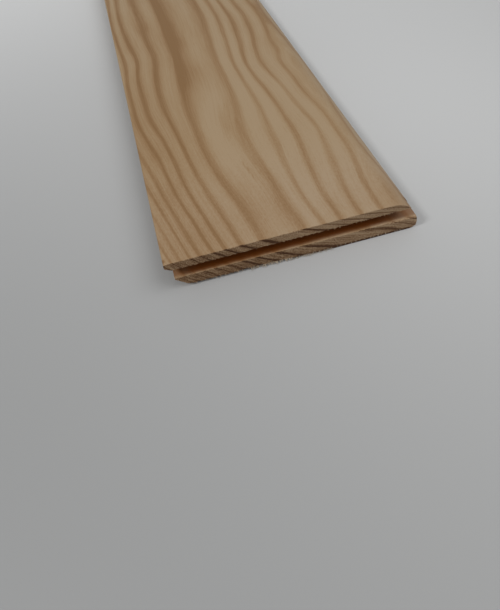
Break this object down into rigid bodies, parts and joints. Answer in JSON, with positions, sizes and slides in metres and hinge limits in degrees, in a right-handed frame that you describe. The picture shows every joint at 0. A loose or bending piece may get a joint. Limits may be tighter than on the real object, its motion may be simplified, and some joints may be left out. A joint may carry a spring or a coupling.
{
  "type": "skirting board",
  "caption": "Solid pine skirting board with a quarter-round top edge, an undercut floor edge and tongue-and-groove ends.",
  "frame": {"origin": "on the board's back, under the middle of its width and of its whole length, tongue included", "axes": "+X across the board from the floor edge to the rounded top edge, +Y along it from the grooved end to the tongued end, +Z from back to face"},
  "size_m": [0.095, 2.406, 0.014],
  "materials": {
    "pine": "planed, bare"
  },
  "bodies": {
    "root": {"skirting_board": "pine"}
  },
  "joints": []
}
